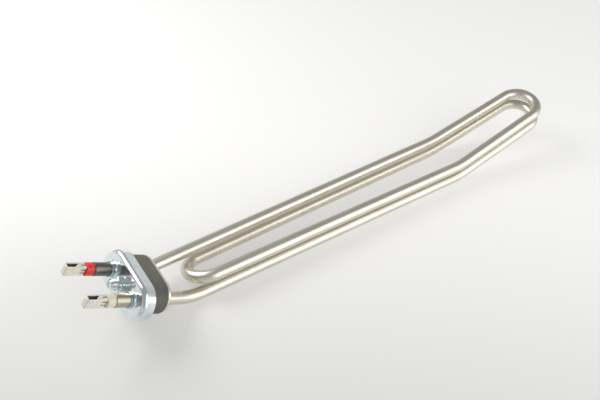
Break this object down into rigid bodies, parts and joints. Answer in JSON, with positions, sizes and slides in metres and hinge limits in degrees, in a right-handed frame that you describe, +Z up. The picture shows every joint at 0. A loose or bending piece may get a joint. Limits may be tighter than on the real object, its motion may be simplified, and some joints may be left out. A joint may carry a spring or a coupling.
{
  "type": "tubular heating element",
  "caption": "Flanged tubular immersion heater: a stainless sheath tube bent into a doubled hairpin, with an oval zinc-plated clamp flange, rubber seal and tab terminals",
  "frame": {"origin": "the centre of the flange's seating plane, which is the rear edge of the front plate's rim", "axes": "+X along the heated tube away from the flange, +Y towards leg A, the one with the red bead, +Z up, with the two lower runs of the tube lying level"},
  "size_m": [0.3902, 0.0494, 0.0475],
  "materials": {
    "tube": "satin",
    "magnesia": "matte",
    "resistance_wire": "satin",
    "pins": "satin",
    "resin": "matte",
    "bead_red": "gloss",
    "bead_cream": "satin",
    "tabs": "satin",
    "zinc_plate": "bright",
    "rubber": "satin",
    "clamp_plate": "satin",
    "fasteners": "bright"
  },
  "bodies": {
    "root": {"sheath_tube": "tube", "magnesia_fill": "magnesia", "heating_coil": "resistance_wire", "cold_pin_a": "pins", "cold_pin_b": "pins", "resin_plug_a": "resin", "resin_plug_b": "resin", "bead_a": "bead_red", "bead_b": "bead_cream", "tab_a": "tabs", "tab_b": "tabs", "front_plate": "zinc_plate", "rubber_seal": "rubber", "rear_clamp_plate": "clamp_plate", "clamp_bolt": "fasteners", "hex_nut": "fasteners"}
  },
  "joints": []
}
